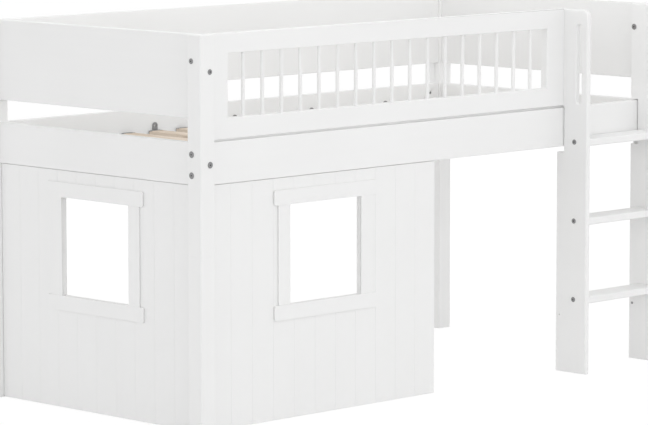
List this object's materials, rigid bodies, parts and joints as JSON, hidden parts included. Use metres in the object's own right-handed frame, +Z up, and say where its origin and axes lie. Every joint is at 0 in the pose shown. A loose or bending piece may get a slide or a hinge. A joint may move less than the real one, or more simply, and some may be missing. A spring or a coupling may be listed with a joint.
{
  "type": "cabin bed",
  "caption": "Mid-height child's cabin bed with a slatted base, guard rails, an upright ladder and grooved play panels with trimmed windows below.",
  "frame": {"origin": "on the floor, in the middle of the whole outline, ladder and bolt heads included", "axes": "+X along the bed from the play panels' end to the ladder's end, +Y from the front, with the ladder, to the back, +Z up"},
  "size_m": [2.104, 1.09, 1.2],
  "materials": {
    "white_paint": "solid wood and board under opaque satin white lacquer",
    "slat_wood": "planed softwood, untreated",
    "dowel_wood": "turned beech, untreated",
    "dark_plastic": "moulded, fine matt texture",
    "dark_steel": "darkened steel, satin",
    "zinc_steel": "bright zinc plating"
  },
  "bodies": {
    "root": {"post_front_left": "white_paint", "post_front_right": "white_paint", "post_back_left": "white_paint", "post_back_right": "white_paint", "leg_front_left": "white_paint", "leg_front_right": "white_paint", "leg_back_left": "white_paint", "leg_back_right": "white_paint", "side_rail_front": "white_paint", "side_rail_back": "white_paint", "end_rail_left": "white_paint", "end_rail_right": "white_paint", "guard_board_back": "white_paint", "guard_board_left": "white_paint", "guard_board_right": "white_paint", "guard_top_rail": "white_paint", "guard_bottom_rail": "white_paint", "guard_upright_post": "white_paint", "guard_upright_ladder": "white_paint", "guard_bars": "white_paint", "ladder_stile_left": "white_paint", "ladder_stile_right": "white_paint", "ladder_tread_bottom": "white_paint", "ladder_tread_middle": "white_paint", "ladder_tread_top": "white_paint", "slat_batten_front": "white_paint", "slat_batten_back": "white_paint", "play_panel_end": "white_paint", "play_panel_front": "white_paint", "end_window_lintel": "white_paint", "end_window_sill": "white_paint", "end_window_casings": "white_paint", "front_window_lintel": "white_paint", "front_window_sill": "white_paint", "front_window_casings": "white_paint", "slats": "slat_wood", "dowels": "dowel_wood", "slat_caps": "dark_plastic", "tab_caps": "dark_plastic", "frame_bolts": "dark_steel", "ladder_bolts": "dark_steel", "ladder_post_bolt": "dark_steel", "ladder_foot_screw": "dark_steel", "leg_studs": "zinc_steel", "ladder_insert": "zinc_steel", "barrel_nuts": "zinc_steel", "batten_screws": "zinc_steel", "panel_plates": "zinc_steel", "plate_panel_screws": "zinc_steel", "plate_rail_screws": "zinc_steel"}
  },
  "joints": []
}
